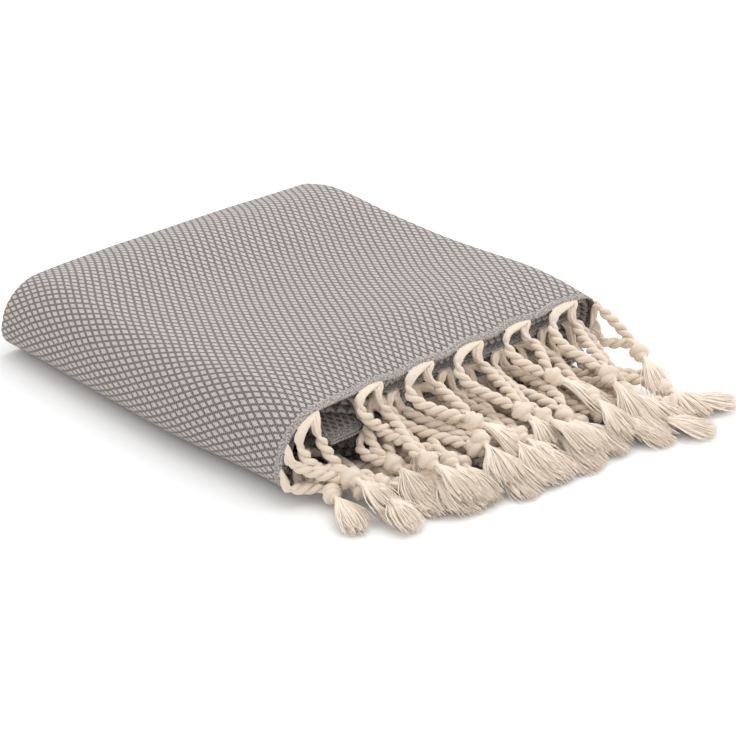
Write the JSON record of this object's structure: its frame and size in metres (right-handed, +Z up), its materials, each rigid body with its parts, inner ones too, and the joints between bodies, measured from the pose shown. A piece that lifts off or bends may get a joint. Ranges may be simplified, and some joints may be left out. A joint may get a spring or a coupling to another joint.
{
  "type": "folded hammam towel",
  "caption": "Folded flat-woven cotton towel with a small diamond weave and twisted, knotted fringe spilling from one side.",
  "frame": {"origin": "on the underside, in the middle of the folded cloth without its fringe", "axes": "+Z up from the surface the towel lies on, +X towards the fringe, -Y towards the broad round fold"},
  "size_m": [0.3498, 0.2767, 0.0585],
  "materials": {
    "woven_cotton": "matt flat weave, pale lozenges on a grey-brown ground",
    "fringe_cotton": "matt undyed cotton yarn"
  },
  "bodies": {
    "root": {"folded_cloth": "woven_cotton", "outer_fringe": "fringe_cotton", "inner_fringe": "fringe_cotton"}
  },
  "joints": []
}
